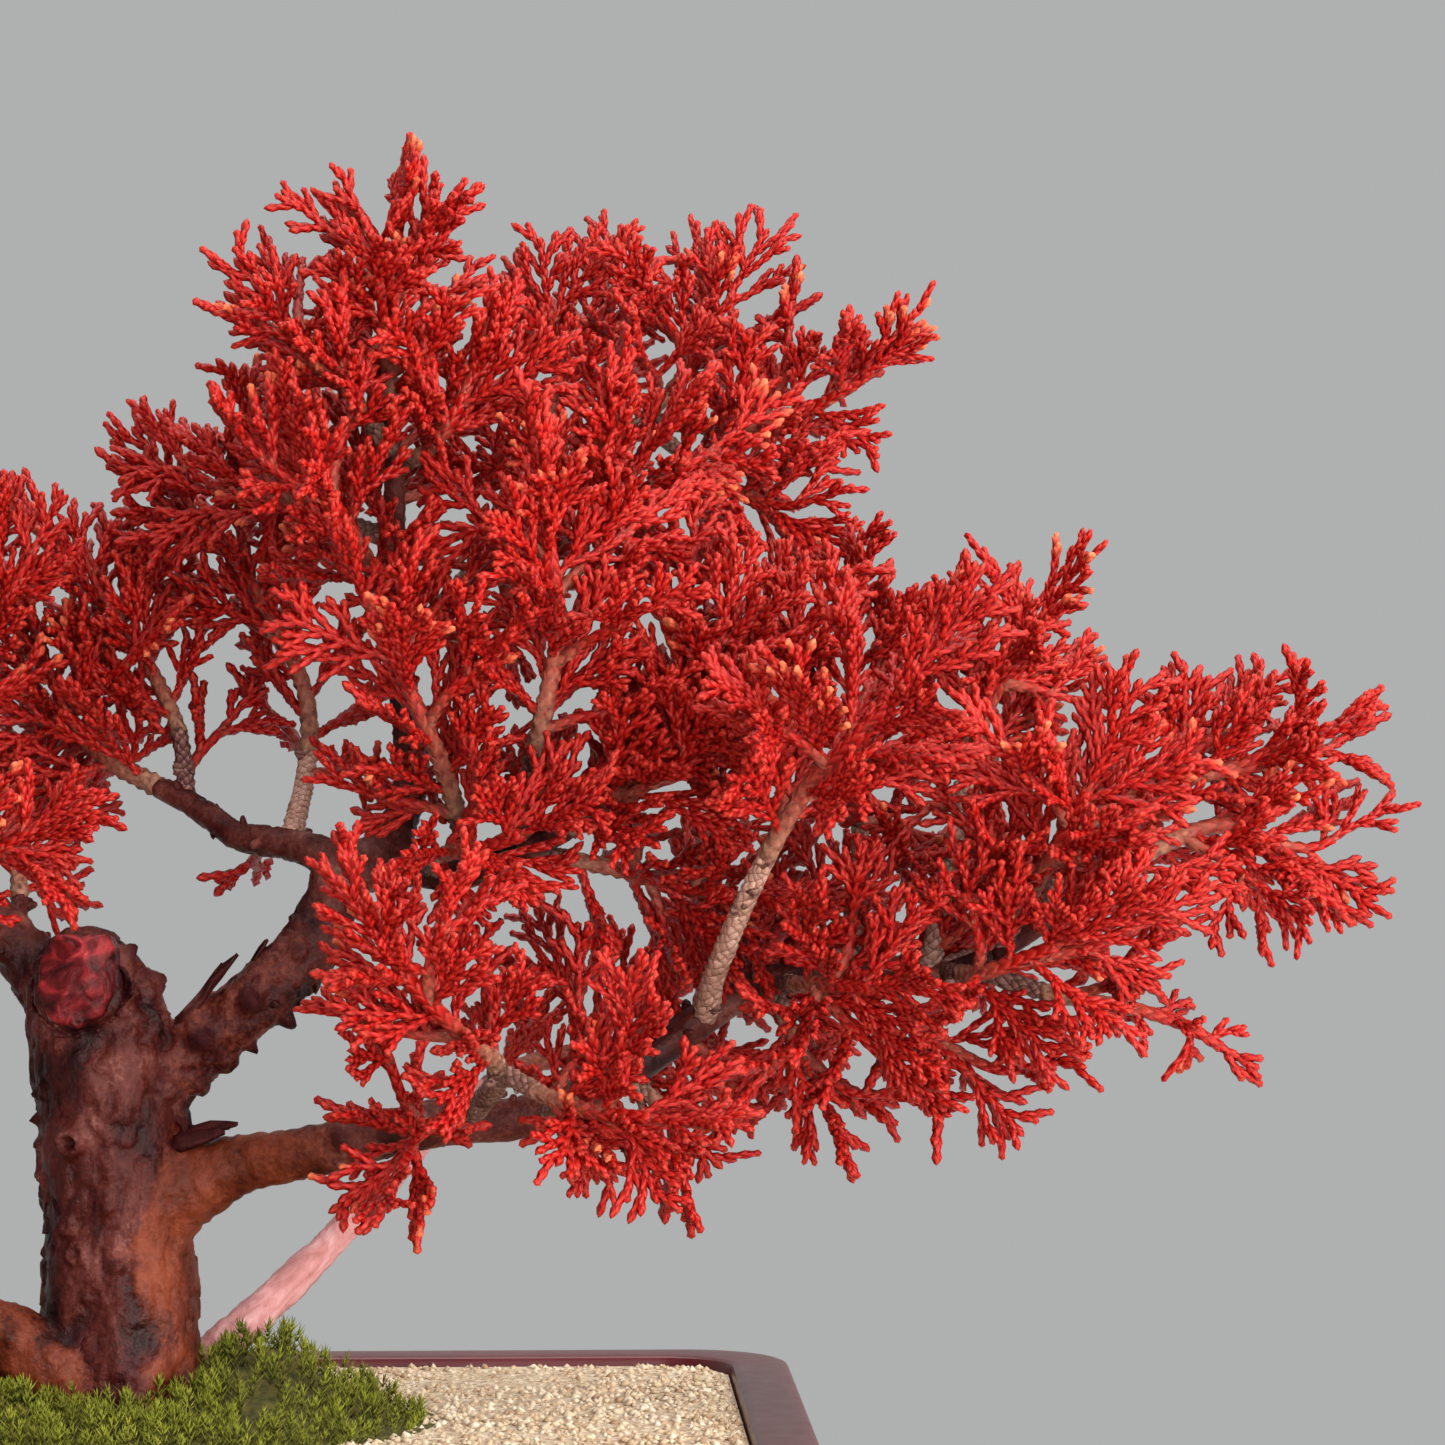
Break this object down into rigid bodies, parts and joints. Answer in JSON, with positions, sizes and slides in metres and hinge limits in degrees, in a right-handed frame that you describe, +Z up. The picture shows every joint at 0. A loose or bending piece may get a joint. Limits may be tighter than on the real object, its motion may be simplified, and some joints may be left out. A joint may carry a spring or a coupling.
{
  "type": "shimpaku juniper bonsai",
  "caption": "Small juniper bonsai with a short thick trunk cut to a stump, wide forking limbs and cord-like red foliage, in moss and sand in a rounded oblong glazed pot on low feet.",
  "frame": {"origin": "middle of the whole object's bounding box, at the undersides of the pot's feet", "axes": "+Z up; +X to the right as seen from the front, along the pot's length; +Y away from the front"},
  "size_m": [0.3016, 0.14, 0.2314],
  "materials": {
    "glazed_pot": "glossy maroon glaze",
    "mesh": "matte",
    "soil": "loose and matte",
    "sand": "loose grains",
    "moss": "soft and matte",
    "bark": "rough, flaking",
    "foliage": "satin scale leaves"
  },
  "bodies": {
    "root": {"pot": "glazed_pot", "drainage_screen_left": "mesh", "drainage_screen_right": "mesh", "soil": "soil", "top_dressing": "sand", "moss": "moss", "tree_wood": "bark", "spray_left_arm": "foliage", "spray_left_arm_up": "foliage", "spray_left_up": "foliage", "spray_mid_arm": "foliage", "spray_mid_low": "foliage", "spray_apex": "foliage", "spray_apex_left": "foliage", "spray_apex_right": "foliage", "spray_apex_front": "foliage", "spray_left_mid": "foliage", "spray_back_top": "foliage", "spray_back_top_right": "foliage", "spray_back_top_left": "foliage", "spray_back_low_right": "foliage", "spray_back_mid": "foliage", "spray_centre": "foliage", "spray_centre_left": "foliage", "spray_centre_low": "foliage", "spray_low_bough": "foliage", "spray_far_up": "foliage", "spray_far_left_up": "foliage", "spray_tan": "foliage", "spray_ridge": "foliage", "spray_ridge_back": "foliage", "spray_mid_rise": "foliage", "spray_mid_rise_left": "foliage", "spray_right_mass": "foliage", "spray_right_front": "foliage", "spray_right_back": "foliage", "spray_bough_front": "foliage", "spray_droop": "foliage", "spray_droop2": "foliage", "spray_lowmid": "foliage", "spray_lowmid2": "foliage", "spray_front": "foliage", "spray_front_right": "foliage", "spray_front_low": "foliage", "spray_front_low_right": "foliage", "spray_backlow": "foliage", "spray_pink_limb": "foliage", "spray_left_near": "foliage", "spray_left_back_in": "foliage", "spray_left_top": "foliage", "spray_left_top_out": "foliage", "spray_left_out": "foliage", "spray_left_out_up": "foliage", "spray_left_back": "foliage", "spray_left_front": "foliage", "spray_low_left": "foliage", "spray_low_left_up": "foliage", "spray_low_left_front": "foliage", "spray_low_left_back": "foliage", "spray_low_left_rise": "foliage"}
  },
  "joints": []
}
